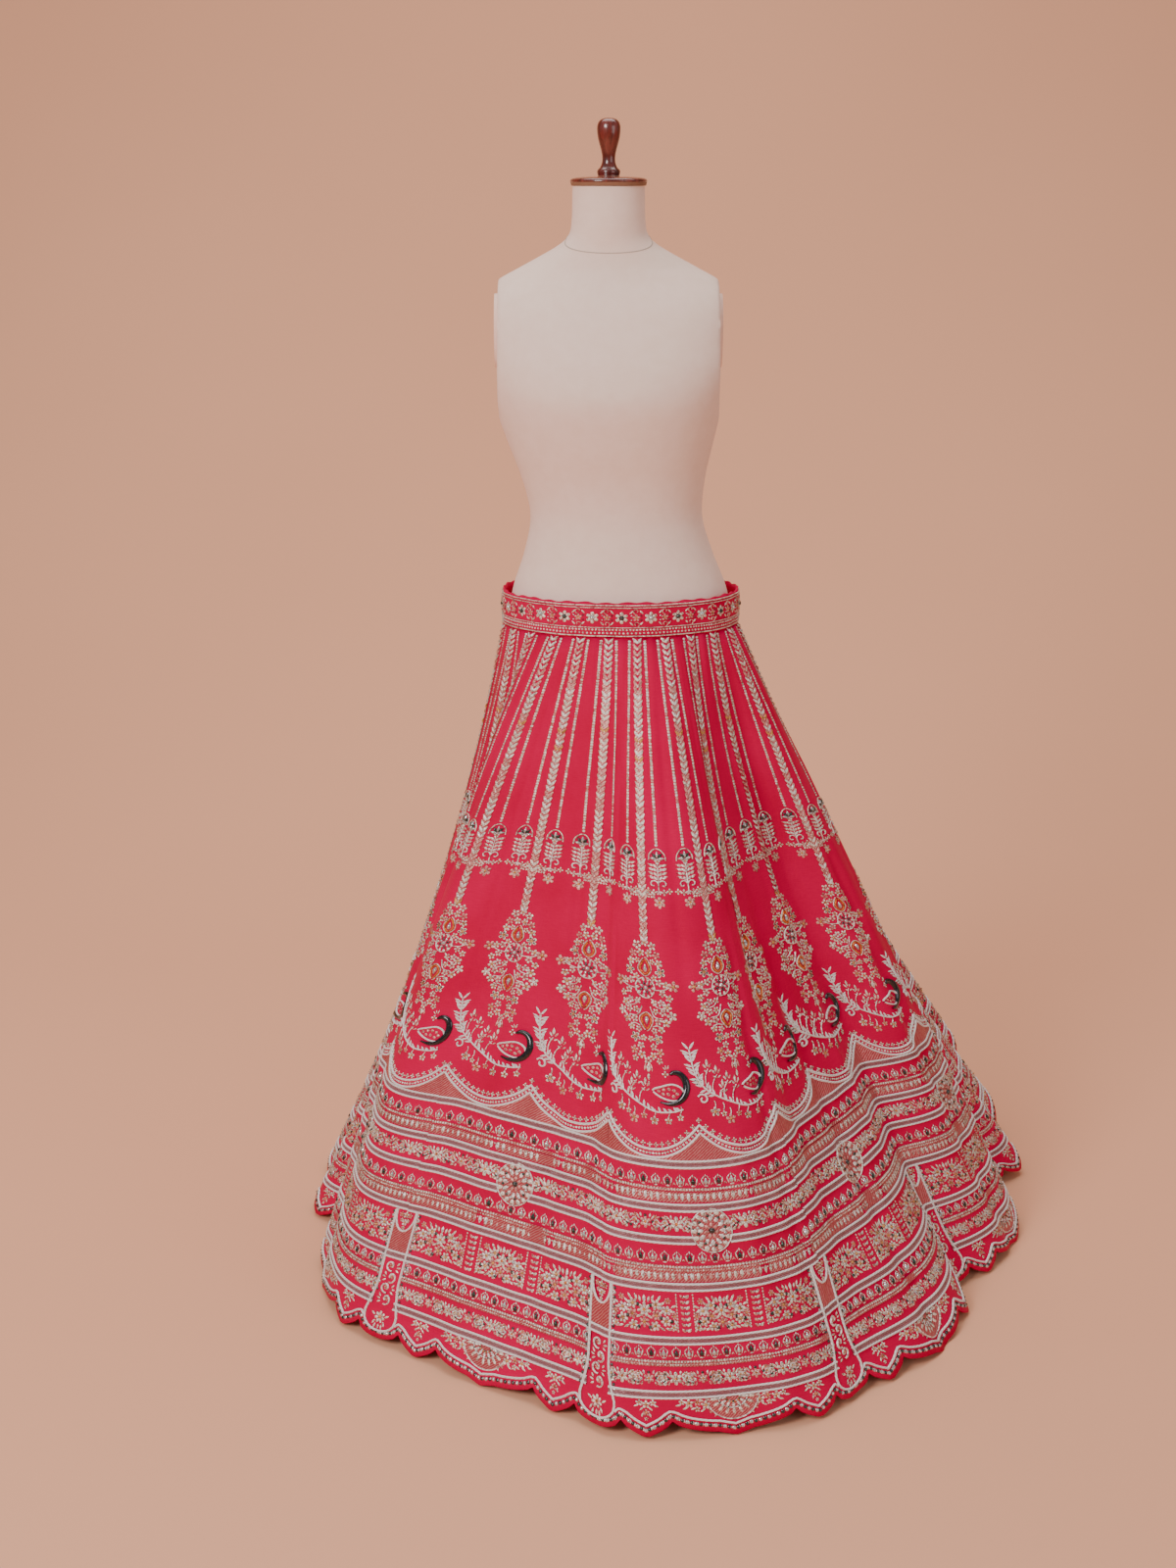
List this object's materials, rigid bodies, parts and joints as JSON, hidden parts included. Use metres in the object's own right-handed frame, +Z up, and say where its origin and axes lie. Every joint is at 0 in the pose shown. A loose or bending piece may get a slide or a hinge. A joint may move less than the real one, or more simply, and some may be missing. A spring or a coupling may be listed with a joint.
{
  "type": "lehenga skirt on a limbless dress form",
  "caption": "Full flared lehenga skirt of raspberry silk with deep bands of zari, cord and bead embroidery, worn on a limbless dress form with a pole stand.",
  "frame": {"origin": "centre of the stand base's underside, on the floor", "axes": "+Z up, the skirt's front faces -Y, +X is to the right when looking at the front"},
  "size_m": [1.1355, 1.3016, 1.6371],
  "materials": {
    "skirt_silk": "raspberry silk satin, soft sheen, embroidered with silver zari, white cord and stones",
    "waistband_silk": "the same silk, stiffened, with a row of beaded roundels",
    "form_linen": "pale beige linen cover, matt",
    "form_wood": "dark reddish brown, glossy varnish",
    "stand_metal": "satin black"
  },
  "bodies": {
    "root": {"kali_01": "skirt_silk", "kali_02": "skirt_silk", "kali_03": "skirt_silk", "kali_04": "skirt_silk", "kali_05": "skirt_silk", "kali_06": "skirt_silk", "kali_07": "skirt_silk", "kali_08": "skirt_silk", "kali_09": "skirt_silk", "kali_10": "skirt_silk", "kali_11": "skirt_silk", "kali_12": "skirt_silk", "waistband": "waistband_silk", "form_torso": "form_linen", "arm_plate_left": "form_linen", "arm_plate_right": "form_linen", "neck_cap": "form_wood", "neck_handle": "form_wood", "form_plate": "form_wood", "stand_pole": "stand_metal", "stand_base": "stand_metal"}
  },
  "joints": []
}
